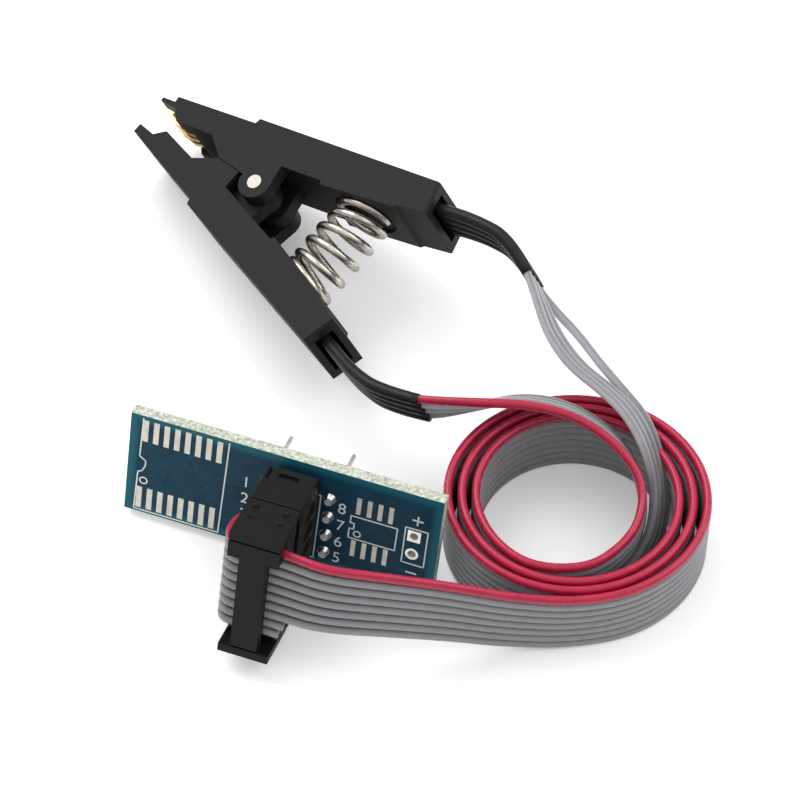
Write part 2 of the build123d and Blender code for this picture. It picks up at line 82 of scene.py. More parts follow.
camera_data = bpy.data.cameras.new("camera")
camera_data.sensor_fit = "HORIZONTAL"
camera_data.angle = VIEW_ANGLE
camera_data.clip_start = 0.01
camera = bpy.data.objects.new("camera", camera_data)
bpy.context.scene.collection.objects.link(camera)
camera.location = LOOK_AT + DISTANCE * Vector((0, -math.cos(ELEVATION), math.sin(ELEVATION)))
camera.rotation_euler = (math.pi / 2 - ELEVATION, 0, 0)
bpy.context.scene.camera = camera
print("camera at", [round(c, 4) for c in camera.location])

# %% [markdown]
# ## Table and light
# The object lies on a white sheet under broad soft light, a little brighter from the upper left.
# The sheet is white to the camera, and elsewhere it is a plain pale floor that takes the shadows.

# %% Table and lamps
scene = bpy.context.scene
scene.view_settings.view_transform = "Standard"
SHEET_HALF = 3.0
SHEET_GREY = 0.93
SHEET_GLOW = 0.205
SKY_LOW = 0.285
SKY_HIGH = 0.95
SKY_TOP = 0.75
LAMP_AIM = (0.01, 0, 0)
LAMP_SIZE = 0.45
LAMPS = [("key_lamp", (-0.22, 0.20, 0.46), 1.5), ("fill_lamp", (0.40, 0.02, 0.40), 0.8)]

floor_mesh = bpy.data.meshes.new("table_sheet")
floor_bm = bmesh.new()
bmesh.ops.create_grid(floor_bm, x_segments=1, y_segments=1, size=SHEET_HALF)
floor_bm.to_mesh(floor_mesh)
floor_bm.free()
floor = bpy.data.objects.new("table_sheet", floor_mesh)
scene.collection.objects.link(floor)

paper = bpy.data.materials.new("white_paper")
paper.use_nodes = True
paper_shader = paper.node_tree.nodes["Principled BSDF"]
paper_shader.inputs["Base Color"].default_value = (SHEET_GREY, SHEET_GREY, SHEET_GREY, 1)
paper_shader.inputs["Roughness"].default_value = 0.85
paper_shader.inputs["Specular IOR Level"].default_value = 0.1
paper_shader.inputs["Emission Color"].default_value = (1, 1, 1, 1)
paper_tree = paper.node_tree
light_path = paper_tree.nodes.new("ShaderNodeLightPath")
glow = paper_tree.nodes.new("ShaderNodeMath")
glow.operation = "MULTIPLY"
glow.inputs[1].default_value = SHEET_GLOW
paper_tree.links.new(light_path.outputs["Is Camera Ray"], glow.inputs[0])
paper_tree.links.new(glow.outputs["Value"], paper_shader.inputs["Emission Strength"])
floor_mesh.materials.append(paper)

world = bpy.data.worlds.new("studio")
scene.world = world
world.use_nodes = True
sky_tree = world.node_tree
backdrop = sky_tree.nodes["Background"]
backdrop.inputs["Strength"].default_value = 1.0
sky_place = sky_tree.nodes.new("ShaderNodeTexCoord")
sky_height = sky_tree.nodes.new("ShaderNodeSeparateXYZ")
sky = sky_tree.nodes.new("ShaderNodeValToRGB")
sky.color_ramp.elements[0].color = (SKY_LOW, SKY_LOW, SKY_LOW, 1)
sky.color_ramp.elements[1].color = (SKY_HIGH, SKY_HIGH, SKY_HIGH, 1)
sky.color_ramp.elements[1].position = SKY_TOP
sky_path = sky_tree.nodes.new("ShaderNodeLightPath")
seen_sky = sky_tree.nodes.new("ShaderNodeMix")
seen_sky.data_type = "RGBA"
seen_sky.inputs["B"].default_value = (1, 1, 1, 1)
sky_tree.links.new(sky_place.outputs["Generated"], sky_height.inputs["Vector"])
sky_tree.links.new(sky_height.outputs["Z"], sky.inputs["Fac"])
sky_tree.links.new(sky_path.outputs["Is Camera Ray"], seen_sky.inputs["Factor"])
sky_tree.links.new(sky.outputs["Color"], seen_sky.inputs["A"])
sky_tree.links.new(seen_sky.outputs["Result"], backdrop.inputs["Color"])


def soft_lamp(name, place, power):
    lamp = bpy.data.lights.new(name, "AREA")
    lamp.shape = "DISK"
    lamp.size = LAMP_SIZE
    lamp.energy = power
    holder = bpy.data.objects.new(name, lamp)
    scene.collection.objects.link(holder)
    holder.location = place
    holder.rotation_euler = (Vector(LAMP_AIM) - Vector(place)).to_track_quat("-Z", "Y").to_euler()


for name, place, power in LAMPS:
    soft_lamp(name, place, power)

# %% [markdown]
# ## Finishes
# Each finish is a small node set: a shader, a noise that shifts its colour or roughness,
# and a fine bump. The noise reads Object coordinates, which are metres on the part.

# %% Finishes
NOISE_BAND = (0.3, 0.7)
SMOOTHEST = 0.02
FINE_GRAIN = 4
BUMP_DEPTH = 0.1 * MM


def finish(name, colour, rough, metal=0.0, grain=900.0, bump=0.05, shade=0.12, rough_shift=0.08, shine=0.5):
    material = bpy.data.materials.new(name)
    material.use_nodes = True
    tree = material.node_tree
    shader = tree.nodes["Principled BSDF"]
    shader.inputs["Metallic"].default_value = metal
    shader.inputs["Specular IOR Level"].default_value = shine
    place = tree.nodes.new("ShaderNodeTexCoord")
    noise = tree.nodes.new("ShaderNodeTexNoise")
    noise.inputs["Scale"].default_value = grain
    noise.inputs["Detail"].default_value = 4
    tree.links.new(place.outputs["Object"], noise.inputs["Vector"])
    ramp = tree.nodes.new("ShaderNodeValToRGB")
    for element, position in zip(ramp.color_ramp.elements, NOISE_BAND):
        element.position = position
    ramp.color_ramp.elements[0].color = tuple(c * (1 - shade) for c in colour) + (1,)
    ramp.color_ramp.elements[1].color = tuple(min(1, c * (1 + shade)) for c in colour) + (1,)
    tree.links.new(noise.outputs["Fac"], ramp.inputs["Fac"])
    tree.links.new(ramp.outputs["Color"], shader.inputs["Base Color"])
    spread = tree.nodes.new("ShaderNodeMapRange")
    spread.inputs["To Min"].default_value = max(SMOOTHEST, rough - rough_shift)
    spread.inputs["To Max"].default_value = min(1, rough + rough_shift)
    tree.links.new(noise.outputs["Fac"], spread.inputs["Value"])
    tree.links.new(spread.outputs["Result"], shader.inputs["Roughness"])
    if bump:
        fine = tree.nodes.new("ShaderNodeTexNoise")
        fine.inputs["Scale"].default_value = grain * FINE_GRAIN
        fine.inputs["Detail"].default_value = 2
        tree.links.new(place.outputs["Object"], fine.inputs["Vector"])
        relief = tree.nodes.new("ShaderNodeBump")
        relief.inputs["Strength"].default_value = bump
        relief.inputs["Distance"].default_value = BUMP_DEPTH
        tree.links.new(fine.outputs["Fac"], relief.inputs["Height"])
        tree.links.new(relief.outputs["Normal"], shader.inputs["Normal"])
    return material


clip_plastic = finish("clip_plastic", (0.0125, 0.0122, 0.012), 0.5, bump=0.25, grain=1500, shine=0.17)
connector_plastic = finish(
    "connector_plastic", (0.0075, 0.0079, 0.0085), 0.45, bump=0.2, grain=1800, shine=0.16)
steel = finish("pin_steel", (0.47, 0.445, 0.4), 0.5, metal=1.0, bump=0.05, grain=1200)
spring_wire = finish("spring_wire", (0.6, 0.56, 0.5), 0.26, metal=1.0, bump=0.05, grain=800, shade=0.25)
gold = finish("gold_plate", (0.86, 0.66, 0.3), 0.24, metal=1.0, bump=0.03, grain=1200)
shrink_tube = finish("shrink_tube", (0.009, 0.009, 0.0095), 0.38, bump=0.25, grain=1500, shine=0.28)
wire_red = finish("wire_red", (0.42, 0.01, 0.05), 0.27, bump=0.15, grain=700, shade=0.1)
solder_tin = finish("solder_tin", (0.8, 0.8, 0.78), 0.2, metal=1.0, bump=0.06, grain=900)
pin_tin = finish("pin_tin", (0.78, 0.77, 0.73), 0.4, metal=0.75, bump=0.03, grain=1200)
board_edge = finish("board_edge", (0.5, 0.54, 0.45), 0.62, bump=0.3, grain=2600, shade=0.45, shine=0.3)
pad_tin = finish("pad_tin", (0.72, 0.69, 0.6), 0.42, metal=0.35, bump=0.1, grain=1000)
silk_ink = finish("silk_ink", (0.8, 0.82, 0.82), 0.6, bump=0.05, grain=2500, shade=0.05)
trace_mask = finish("trace_mask", (0.009, 0.052, 0.095), 0.32, bump=0.05, grain=800, shade=0.1, shine=0.16)
# Painted shade: a near-black finish stands for the shade inside the open via holes.
painted_hole_shade = finish("painted_hole_shade", (0.02, 0.022, 0.02), 0.5, bump=0.0, grain=1500)
print("finishes", len(bpy.data.materials))

# %% Finish of the grey conductors
# The grooves between the conductors are painted darker than their crests, as painted shade.
# The single leads, which lie behind the run and above the coil, are painted paler, as painted light where
# they lie flat under the light from above.
GROOVE_SHADE = 0.6
GROOVE_POWER = 5.0
LEAD_PAINTED_LIGHT = 2.0
LIT_LEAD_ZONE = [("Z", 10.2, 13.2), ("Y", -34.0, -28.0)]


def mapped(tree, source, low, high):
    change = tree.nodes.new("ShaderNodeMapRange")
    change.inputs["To Min"].default_value = low
    change.inputs["To Max"].default_value = high
    tree.links.new(source, change.inputs["Value"])
    return change


def maths(tree, operation, *sources):
    step = tree.nodes.new("ShaderNodeMath")
    step.operation = operation
    for number, source in enumerate(sources):
        tree.links.new(source, step.inputs[number])
    return step


def conductor_finish():
    material = finish("wire_grey", (0.25, 0.25, 0.265), 0.3, bump=0.15, grain=700, shade=0.06)
    tree = material.node_tree
    groove = tree.nodes.new("ShaderNodeAttribute")
    groove.attribute_name = "groove"
    deepest = maths(tree, "POWER", groove.outputs["Fac"])
    deepest.inputs[1].default_value = GROOVE_POWER
    # Painted shade: the base colour is darkened towards the grooves.
    groove_shade = mapped(tree, deepest.outputs["Value"], 1.0, 1.0 - GROOVE_SHADE)
    place = tree.nodes.new("ShaderNodeTexCoord")
    where = tree.nodes.new("ShaderNodeSeparateXYZ")
    tree.links.new(place.outputs["Object"], where.inputs["Vector"])
    zones = []
    for axis, start, end in LIT_LEAD_ZONE:
        zone = mapped(tree, where.outputs[axis], 0.0, 1.0)
        zone.inputs["From Min"].default_value = start * MM
        zone.inputs["From Max"].default_value = end * MM
        zones.append(zone.outputs["Result"])
    on_lead = maths(tree, "MULTIPLY", *zones)
    # Painted light: the base colour is made paler on the leads inside the lit zone.
    lead_painted_light = mapped(tree, on_lead.outputs["Value"], 1.0, LEAD_PAINTED_LIGHT)
    level = maths(tree, "MULTIPLY", groove_shade.outputs["Result"], lead_painted_light.outputs["Result"])
    tone = tree.nodes.new("ShaderNodeVectorMath")
    tone.operation = "SCALE"
    colour = tree.nodes["Principled BSDF"].inputs["Base Color"]
    tree.links.new(colour.links[0].from_socket, tone.inputs[0])
    tree.links.new(level.outputs["Value"], tone.inputs["Scale"])
    tree.links.new(tone.outputs["Vector"], colour)
    return material


wire_grey = conductor_finish()
print(wire_grey.name, "nodes", len(wire_grey.node_tree.nodes))

# %% [markdown]
# ## Frames of the clip and the board
# The clip lies tilted on the table and the board leans back on its pins, so their pieces
# are placed along their own axes: the clip's from jaws to handles, the board's from its lower left.

# %% Frames
PIVOT = Vector((-3.4, 17.75, 8.7))
CLIP_X = Vector((0.691489, -0.701200, 0.173648))
CLIP_Z = Vector((-0.334872, -0.098154, 0.937138))
CLIP_Y = CLIP_Z.cross(CLIP_X)
BOARD_ORIGIN = Vector((-19.1, -18.85, 0.6))
BOARD_X = Vector((0.944949, -0.327218, 0.0))
BOARD_Y = Vector((0.308639, 0.891297, -0.332161))
BOARD_Z = Vector((0.108690, 0.313880, 0.943223))


def on_clip(x, y, z):
    return (PIVOT + x * CLIP_X + y * CLIP_Y + z * CLIP_Z) * MM


def on_board(x, y, z):
    return (BOARD_ORIGIN + x * BOARD_X + y * BOARD_Y + z * BOARD_Z) * MM


PLUG_PLACE = (20.3, -4.1, 5.63)


def on_plug(x, y, z):
    return on_board(PLUG_PLACE[0] + x, PLUG_PLACE[1] + y, PLUG_PLACE[2] + z)


def add_piece(name, mesh, body, slot, *materials):
    piece = bpy.data.objects.new(name, mesh)
    scene.collection.objects.link(piece)
    for material in materials:
        mesh.materials.append(material)
    if body:
        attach(piece, body)
    return piece


print("plug at", [round(c * 1000, 2) for c in on_plug(0, 0, 0)])

# %% [markdown]
# ## The flat cable
# Eight conductors lie side by side, with a red one along the upper edge.
# The plug clamps ten, and the lowest two are cut off beside it.
# Each one is its own cord: out of its sleeve, round the coil, along to the plug and round its cover.
# A smooth spline carries each line, and an oval profile swept along it meets its neighbours in a groove.

# %% Routes of the eight conductors
WIRES = 8
PLUG_WIRES = 10
GROUP = 4
PITCH = 1.27
SLEEVE_END_PITCH = 1.4
RIBBON_LIFT = 0.66
UPPER_SLEEVE_POINTS = [(21.7, 7.45, 17.0), (25.3, 4.85, 17.2), (27.4, 1.15, 15.7)]
LOWER_SLEEVE_POINTS = [(7.5, -9.15, 10.4), (10.5, -12.15, 11.2), (14.9, -13.95, 12.0)]
UPPER_LEAD_POINTS = [
    (28.7, -2.35, 15.0), (30.1, -5.95, 14.4), (32.5, -9.65, 13.9), (36.0, -12.65, 13.6),
    (38.9, -15.75, 12.9), (40.8, -19.35, 10.4), (41.6, -23.35, 7.4), (40.8, -27.25, 4.8),
    (38.3, -30.65, 3.0), (34.5, -33.15, 2.56),
]
LOWER_LEAD_POINTS = [
    (20.5, -14.25, 13.1), (26.3, -13.65, 13.2), (31.9, -14.9, 12.8), (37.0, -18.2, 11.4),
    (39.7, -23.1, 9.0), (38.9, -27.95, 7.8), (36.3, -31.35, 7.64), (32.7, -33.75, 7.64),
]
# How the four leads of a group lean from upright, side by side, at each of those points
UPPER_LEANS = [
    (-0.6, 0.0), (-0.9, -0.2), (-1.1, -0.4), (-1.1, -0.5), (-1.0, -0.4), (-0.7, -0.1), (-0.45, 0.1),
    (-0.25, 0.1), (-0.1, 0.05), (0.0, 0.0),
]
LOWER_LEANS = [(0, -0.5), (0, -1.1), (0, -1.2), (-0.3, -0.9), (-0.1, -0.1), (0, 0), (0, 0), (0, 0)]
# The first lead strays from its group at these points
STRAY_WIRE = {0: (0.6, 0.5, 0.0), 1: (1.2, 1.0, 0.2), 2: (1.0, 0.8, 0.2), 3: (0.2, 0.2, 0.0)}
SLEEVE_COVERS = 1.6
COIL_MIDDLE = (31.65, -24.15)
COIL_HALF = (15.4, 13.6)
COIL_SHRINK = (1.6, 1.15)
COIL_TURNS = 2.93
POINTS_PER_TURN = 14
RUN_POINTS = [(3.6, -39.2, 12.0), (10.5, -39.0, 10.4), (17.6, -38.3, 7.9), (24.0, -38.2, 5.9)]
FOLD_POINTS = [(2.2, -6.2), (-1.0, -6.2), (-3.95, -6.2), (-3.95, -10.6), (-1.0, -10.6), (3.55, -10.6)]


def coil_points(height):
    stretch = 1 / math.cos(math.pi / POINTS_PER_TURN)
    made = []
    steps = round(COIL_TURNS * POINTS_PER_TURN)
    for step in range(steps, -1, -1):
        turns = step / POINTS_PER_TURN
        angle = 2 * math.pi * turns - math.pi / 2
        x = COIL_MIDDLE[0] + stretch * (COIL_HALF[0] - COIL_SHRINK[0] * turns) * math.cos(angle)
        y = COIL_MIDDLE[1] + stretch * (COIL_HALF[1] - COIL_SHRINK[1] * turns) * math.sin(angle)
        made.append(Vector((x, y, height)) * MM)
    return made


def lead_route(wire):
    upper = wire < GROUP
    rank = wire % GROUP - (GROUP - 1) / 2
    sleeve = [Vector(p) for p in (UPPER_SLEEVE_POINTS if upper else LOWER_SLEEVE_POINTS)]
    mouth = sleeve[-1] + (sleeve[-2] - sleeve[-1]).normalized() * SLEEVE_COVERS
    points = [(place + CLIP_Z * rank * SLEEVE_END_PITCH) * MM for place in (mouth, sleeve[-1])]
    leads = UPPER_LEAD_POINTS if upper else LOWER_LEAD_POINTS
    leans = UPPER_LEANS if upper else LOWER_LEANS
    for number, (place, lean) in enumerate(zip(leads, leans)):
        way = Vector((lean[0], lean[1], 1)).normalized()
        stray = Vector(STRAY_WIRE.get(number, (0, 0, 0))) if wire == 0 else Vector()
        points.append((Vector(place) + way * rank * PITCH + stray) * MM)
    return points


def ribbon_route(wire):
    across = (wire - (WIRES - 1) / 2) * PITCH
    points = coil_points(RIBBON_LIFT + PITCH * wire)
    for number, (x, y, z) in enumerate(reversed(RUN_POINTS)):
        lean = (number + 1) / (len(RUN_POINTS) + 1)
        way = Vector((0, 0, 1)).lerp(BOARD_Z, lean).normalized()
        points.append((Vector((x, y, z)) + way * across) * MM)
    rise = (PLUG_WIRES - WIRES) / 2 * PITCH
    points += [on_plug(x, y, across + rise) for x, y in reversed(FOLD_POINTS)]
    return points


# %% Splines and tubes of the conductors
OVAL = (0.645, 0.5)
SLEEVE_THIN = 0.88
OVAL_SIDES = 16
WIRE_STEPS = 5
SWEEP_SEAM = 1e-7


def oval_profile(name, half_height, half_thick):
    data = bpy.data.curves.new(name, "CURVE")
    data.dimensions = "2D"
    line = data.splines.new("POLY")
    line.points.add(OVAL_SIDES - 1)
    line.use_cyclic_u = True
    for number, point in enumerate(line.points):
        turn = 2 * math.pi * number / OVAL_SIDES
        point.co = (half_thick * MM * math.cos(turn), half_height * MM * math.sin(turn), 0, 1)
    profile = bpy.data.objects.new(name, data)
    scene.collection.objects.link(profile)
    return profile


def spline_object(name, points, radii, steps):
    data = bpy.data.curves.new(name, "CURVE")
    data.dimensions = "3D"
    data.twist_mode = "Z_UP"
    line = data.splines.new("NURBS")
    line.points.add(len(points) - 1)
    for point, place, radius in zip(line.points, points, radii):
        point.co = (*place, 1)
        point.radius = radius
    line.order_u = 3
    line.use_endpoint_u = True
    line.resolution_u = steps
    holder = bpy.data.objects.new(name, data)
    scene.collection.objects.link(holder)
    return holder


def line_of(holder):
    bpy.context.view_layer.update()
    mesh = bpy.data.meshes.new_from_object(holder)
    places = [tuple(v.co) for v in mesh.vertices]
    bpy.data.meshes.remove(mesh)
    return places


def swept_mesh(holder, profile):
    holder.data.bevel_mode = "OBJECT"
    holder.data.bevel_object = profile
    holder.data.use_fill_caps = True
    bpy.context.view_layer.update()
    mesh = bpy.data.meshes.new_from_object(holder.evaluated_get(bpy.context.evaluated_depsgraph_get()))
    bpy.data.objects.remove(holder)
    bm = bmesh.new()
    bm.from_mesh(mesh)
    # Painted shade: this attribute is 1 where a conductor meets its neighbour, and the grey conductors'
    # finish darkens the base colour there.
    groove = bm.verts.layers.float.new("groove")
    for number, vert in enumerate(bm.verts):
        vert[groove] = abs(math.sin(2 * math.pi * number / OVAL_SIDES))
    bmesh.ops.remove_doubles(bm, verts=bm.verts, dist=SWEEP_SEAM)
    bmesh.ops.recalc_face_normals(bm, faces=bm.faces)
    for face in bm.faces:
        face.smooth = True
    bm.to_mesh(mesh)
    bm.free()
    mesh.materials.clear()
    return mesh


def add_conductor(name, route, radii, material, slot):
    holder = spline_object(name, route, radii, WIRE_STEPS)
    path = line_of(holder)
    length = sum((Vector(b) - Vector(a)).length for a, b in zip(path, path[1:]))
    mesh = swept_mesh(holder, oval)
    mesh.name = name
    piece = add_piece(name, mesh, None, slot, material)
    print(name, "length", round(length * 1000, 1), "mm in", len(path), "points")
    return piece, path, length


# %% Conductors
# The upper arm's leads swing with it, and the ribbon beside the plug follows the plug when it is pulled.
LEAD_OVERLAP = 3
oval = oval_profile("conductor_oval", *OVAL)
conductors = []
for wire in range(WIRES):
    lead = lead_route(wire)
    ribbon = ribbon_route(wire)
    red = wire == WIRES - 1
    look = (wire_red, "wire_red") if red else (wire_grey, "wire_grey")
    thin = [SLEEVE_THIN, SLEEVE_THIN]
    if wire < GROUP:
        lead_part = lead + ribbon[:LEAD_OVERLAP]
        made = add_conductor(f"lead_wire_{wire + 1}", lead_part, thin + [1.0] * (len(lead_part) - 2), *look)
        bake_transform(made[0])
        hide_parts(f"lead_{wire + 1}")
        conductors.append((*made, "lead"))
        made = add_conductor(f"ribbon_wire_{wire + 1}", ribbon, [1.0] * len(ribbon), *look)
        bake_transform(made[0])
    else:
        whole = lead + ribbon
        made = add_conductor(f"ribbon_wire_{wire + 1}", whole, thin + [1.0] * (len(whole) - 2), *look)
        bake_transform(made[0])
        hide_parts(f"lead_{wire + 1}")
    conductors.append((*made, "ribbon"))

# The two that are cut off end just beyond the plug's side.
CUT_ENDS = (3.2, 3.7)
for number, reach in enumerate(CUT_ENDS):
    across = (number - (PLUG_WIRES - 1) / 2) * PITCH
    fold = FOLD_POINTS[:-1] + [(reach, FOLD_POINTS[-1][1])]
    route = [on_plug(x, y, across) for x, y in fold]
    made = add_conductor(f"cut_wire_{number + 1}", route, [1.0] * len(route), wire_grey, "wire_grey")
    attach(made[0], "plug")
bpy.data.objects.remove(oval)
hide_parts("ribbon_coil", "ribbon_run", "ribbon_fold")

# %% [markdown]
# ## Sleeves
# A shrunk tube covers each solder joint where a lead meets its contact at the handle.

# %% Sleeves
SLEEVE_PITCH = 1.5
SLEEVE_INSIDE = (18.932, 9.631)
SLEEVE_MOUTH = (22.005, 10.524)
SLEEVE_RADIUS = 0.74

SLEEVE_SWELL = [1.0, 1.02, 0.98, 1.02, 0.95]
SLEEVE_STEPS = 8

sleeve_round = oval_profile("sleeve_round", SLEEVE_RADIUS, SLEEVE_RADIUS)
sleeves = []
for side, points, flip in (("upper", UPPER_SLEEVE_POINTS, 1), ("lower", LOWER_SLEEVE_POINTS, -1)):
    for number in range(GROUP):
        rank = number - (GROUP - 1) / 2
        shift = CLIP_Z * rank * MM
        route = [on_clip(x, flip * y, 0) + shift * SLEEVE_PITCH for x, y in (SLEEVE_INSIDE, SLEEVE_MOUTH)]
        route += [Vector(p) * MM + shift * (SLEEVE_PITCH + SLEEVE_END_PITCH) / 2 for p in points[:-1]]
        route += [Vector(points[-1]) * MM + shift * SLEEVE_END_PITCH]
        name = f"shrink_sleeve_{side}_{number + 1}"
        mesh = swept_mesh(spline_object(name, route, SLEEVE_SWELL, SLEEVE_STEPS), sleeve_round)
        mesh.name = name
        body = "upper_half" if side == "upper" else "base"
        sleeve = add_piece(name, mesh, body, "shrink_sleeve", shrink_tube)
        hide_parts(f"{side}_sleeve_{number + 1}")
        sleeves.append(sleeve)
bpy.data.objects.remove(sleeve_round)
print("sleeves", len(sleeves))

# %% [markdown]
# ## Rounded mouldings
# A moulded edge is never knife sharp, and its thin highlight shows the form.
# A copy of each solid's mesh is merged, its flat triangles are dissolved, and its edges are bevelled.

# %% Rounded copies of the mouldings
SOLID_SEAM = 2e-6
FLAT_ANGLE = math.radians(1.0)
EDGE_ANGLE = math.radians(25.0)
EDGE_SEGMENTS = 2


def rounded_copy(node, name, width, body, slot, material):
    mesh = nodes[node].data.copy()
    mesh.name = name
    mesh.materials.clear()
    bm = bmesh.new()
    bm.from_mesh(mesh)
    bmesh.ops.remove_doubles(bm, verts=bm.verts, dist=SOLID_SEAM)
    bmesh.ops.dissolve_limit(bm, angle_limit=FLAT_ANGLE, verts=bm.verts, edges=bm.edges)
    sharp = [e for e in bm.edges if e.is_manifold and e.calc_face_angle(0) > EDGE_ANGLE]
    bmesh.ops.bevel(bm, geom=sharp, offset=width * MM, offset_type="OFFSET", affect="EDGES",
                    segments=EDGE_SEGMENTS, profile=0.5, material=-1, clamp_overlap=True)
    for face in bm.faces:
        face.smooth = True
    bm.to_mesh(mesh)
    bm.free()
    piece = add_piece(name, mesh, body, slot, material)
    weighted = piece.modifiers.new("even_shading", "WEIGHTED_NORMAL")
    weighted.keep_sharp = True
    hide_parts(node)
    return piece


MOULDINGS = [
    ("upper_arm", "upper_jaw_arm", 0.12, "upper_half", "clip_plastic", clip_plastic),
    ("lower_arm", "lower_jaw_arm", 0.12, "base", "clip_plastic", clip_plastic),
    ("socket_body", "plug_body", 0.12, "plug", "connector_plastic", connector_plastic),
    ("socket_cover", "plug_cover", 0.1, "plug", "connector_plastic", connector_plastic),
    ("strain_relief", "plug_strap", 0.14, "plug", "connector_plastic", connector_plastic),
    ("header_base", "pin_header_base", 0.1, "base", "connector_plastic", connector_plastic),
    ("left_pin_strip", "left_strip", 0.1, "base", "connector_plastic", connector_plastic),
    ("right_pin_strip", "right_strip", 0.1, "base", "connector_plastic", connector_plastic),
]
for node, name, width, body, slot, material in MOULDINGS:
    piece = rounded_copy(node, name, width, body, slot, material)
    print(name, "faces", len(piece.data.polygons))

# %% [markdown]
# ## Spring
# The coil is squeezed between the handles.

# %% Spring
SPRING_SEAM = 1e-6
SPRING_ENDS = math.radians(50)
spring_mesh = nodes["spring"].data.copy()
spring_mesh.name = "handle_spring"
spring_mesh.materials.clear()
spring_bm = bmesh.new()
spring_bm.from_mesh(spring_mesh)
bmesh.ops.remove_doubles(spring_bm, verts=spring_bm.verts, dist=SPRING_SEAM)
for face in spring_bm.faces:
    face.smooth = True
spring_bm.to_mesh(spring_mesh)
spring_bm.free()
spring_mesh.set_sharp_from_angle(angle=SPRING_ENDS)
spring = add_piece("handle_spring", spring_mesh, None, "spring_steel", spring_wire)
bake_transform(spring)
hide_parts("spring")
print("spring faces", len(spring_mesh.polygons))

# %% [markdown]
# ## Adapter board
# The bare board is glass fibre with a blue solder mask on both faces, and its cut edges show the fibre.
# The mask is darker where copper lies under it, so the shader measures how far a point is from the edge.

# %% Solder mask
BOARD_LENGTH = 37.2
BOARD_HEIGHT = 13.8
BOARD_THICK = 1.6
BARE_BORDER = (0.5, 1.3)
BORDER_BLUE = (0.012, 0.12, 0.165, 1)


def along_board(tree, offset, way, length):
    dot = tree.nodes.new("ShaderNodeVectorMath")
    dot.operation = "DOT_PRODUCT"
    dot.inputs[1].default_value = way
    tree.links.new(offset.outputs["Vector"], dot.inputs[0])
    centred = maths(tree, "SUBTRACT", dot.outputs["Value"])
    centred.inputs[1].default_value = length * MM / 2
    size = maths(tree, "ABSOLUTE", centred.outputs["Value"])
    inset = tree.nodes.new("ShaderNodeMath")
    inset.operation = "SUBTRACT"
    inset.inputs[0].default_value = length * MM / 2
    tree.links.new(size.outputs["Value"], inset.inputs[1])
    return inset.outputs["Value"]


def mask_finish():
    material = finish(
        "board_mask", (0.007, 0.046, 0.082), 0.34, bump=0.1, grain=420, shade=0.22, shine=0.13)
    tree = material.node_tree
    colour = tree.nodes["Principled BSDF"].inputs["Base Color"]
    dark = colour.links[0].from_socket
    place = tree.nodes.new("ShaderNodeTexCoord")
    offset = tree.nodes.new("ShaderNodeVectorMath")
    offset.operation = "SUBTRACT"
    offset.inputs[1].default_value = BOARD_ORIGIN * MM
    tree.links.new(place.outputs["Object"], offset.inputs[0])
    inset_x = along_board(tree, offset, BOARD_X, BOARD_LENGTH)
    inset_z = along_board(tree, offset, BOARD_Z, BOARD_HEIGHT)
    nearest = maths(tree, "MINIMUM", inset_x, inset_z)
    border = mapped(tree, nearest.outputs["Value"], 0.0, 1.0)
    border.inputs["From Min"].default_value = BARE_BORDER[0] * MM
    border.inputs["From Max"].default_value = BARE_BORDER[1] * MM
    mix = tree.nodes.new("ShaderNodeMix")
    mix.data_type = "RGBA"
    mix.inputs["A"].default_value = BORDER_BLUE
    tree.links.new(border.outputs["Result"], mix.inputs["Factor"])
    tree.links.new(dark, mix.inputs["B"])
    tree.links.new(mix.outputs["Result"], colour)
    return material


board_mask = mask_finish()
print(board_mask.name, "nodes", len(board_mask.node_tree.nodes))

# %% Bare board
FLAT_FACE = 0.9
RIM = 0.2 * MM
board_mesh = nodes["adapter_board"].data.copy()
board_mesh.name = "bare_board"
board_mesh.materials.clear()
board = add_piece("bare_board", board_mesh, "base", "board_mask", board_mask, board_edge, pad_tin)
corner = BOARD_ORIGIN * MM
for face in board_mesh.polygons:
    face.use_smooth = False
    middle = Vector(face.center) - corner
    inside_length = RIM < middle.dot(BOARD_X) < BOARD_LENGTH * MM - RIM
    inside_height = RIM < middle.dot(BOARD_Z) < BOARD_HEIGHT * MM - RIM
    if abs(face.normal.dot(BOARD_Y)) > FLAT_FACE:
        face.material_index = 0
    elif inside_length and inside_height:
        face.material_index = 2
    else:
        face.material_index = 1
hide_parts("adapter_board")
print("board faces", len(board_mesh.polygons))

# %% [markdown]
# ## Pads, traces and ink
# Two outlines for chips are laid out in tinned pads: a wide one on the left and a small one on the right.
# Every mark is a thin plate just proud of the mask, as the real tin and ink are.

# %% Plates, strokes and rings on the board
FRONT = -BOARD_THICK
PLATE_SEAM = 1e-8


def plate(bm, x, z, width, height, thick):
    place = on_board(x, FRONT - thick / 2, z)
    axes = (BOARD_X * width * MM, BOARD_Y * thick * MM, BOARD_Z * height * MM)
    matrix = Matrix.Translation(place) @ Matrix(axes).transposed().to_4x4()
    bmesh.ops.create_cube(bm, size=1.0, matrix=matrix)


def stroke(bm, a, b, width, thick):
    way = Vector((b[0] - a[0], b[1] - a[1]))
    along = (BOARD_X * way.x + BOARD_Z * way.y).normalized()
    aside = along.cross(BOARD_Y)
    place = on_board((a[0] + b[0]) / 2, FRONT - thick / 2, (a[1] + b[1]) / 2)
    axes = (along * (way.length + width) * MM, BOARD_Y * thick * MM, aside * width * MM)
    matrix = Matrix.Translation(place) @ Matrix(axes).transposed().to_4x4()
    bmesh.ops.create_cube(bm, size=1.0, matrix=matrix)


def chain(bm, points, width, thick):
    for a, b in zip(points, points[1:]):
        stroke(bm, a, b, width, thick)


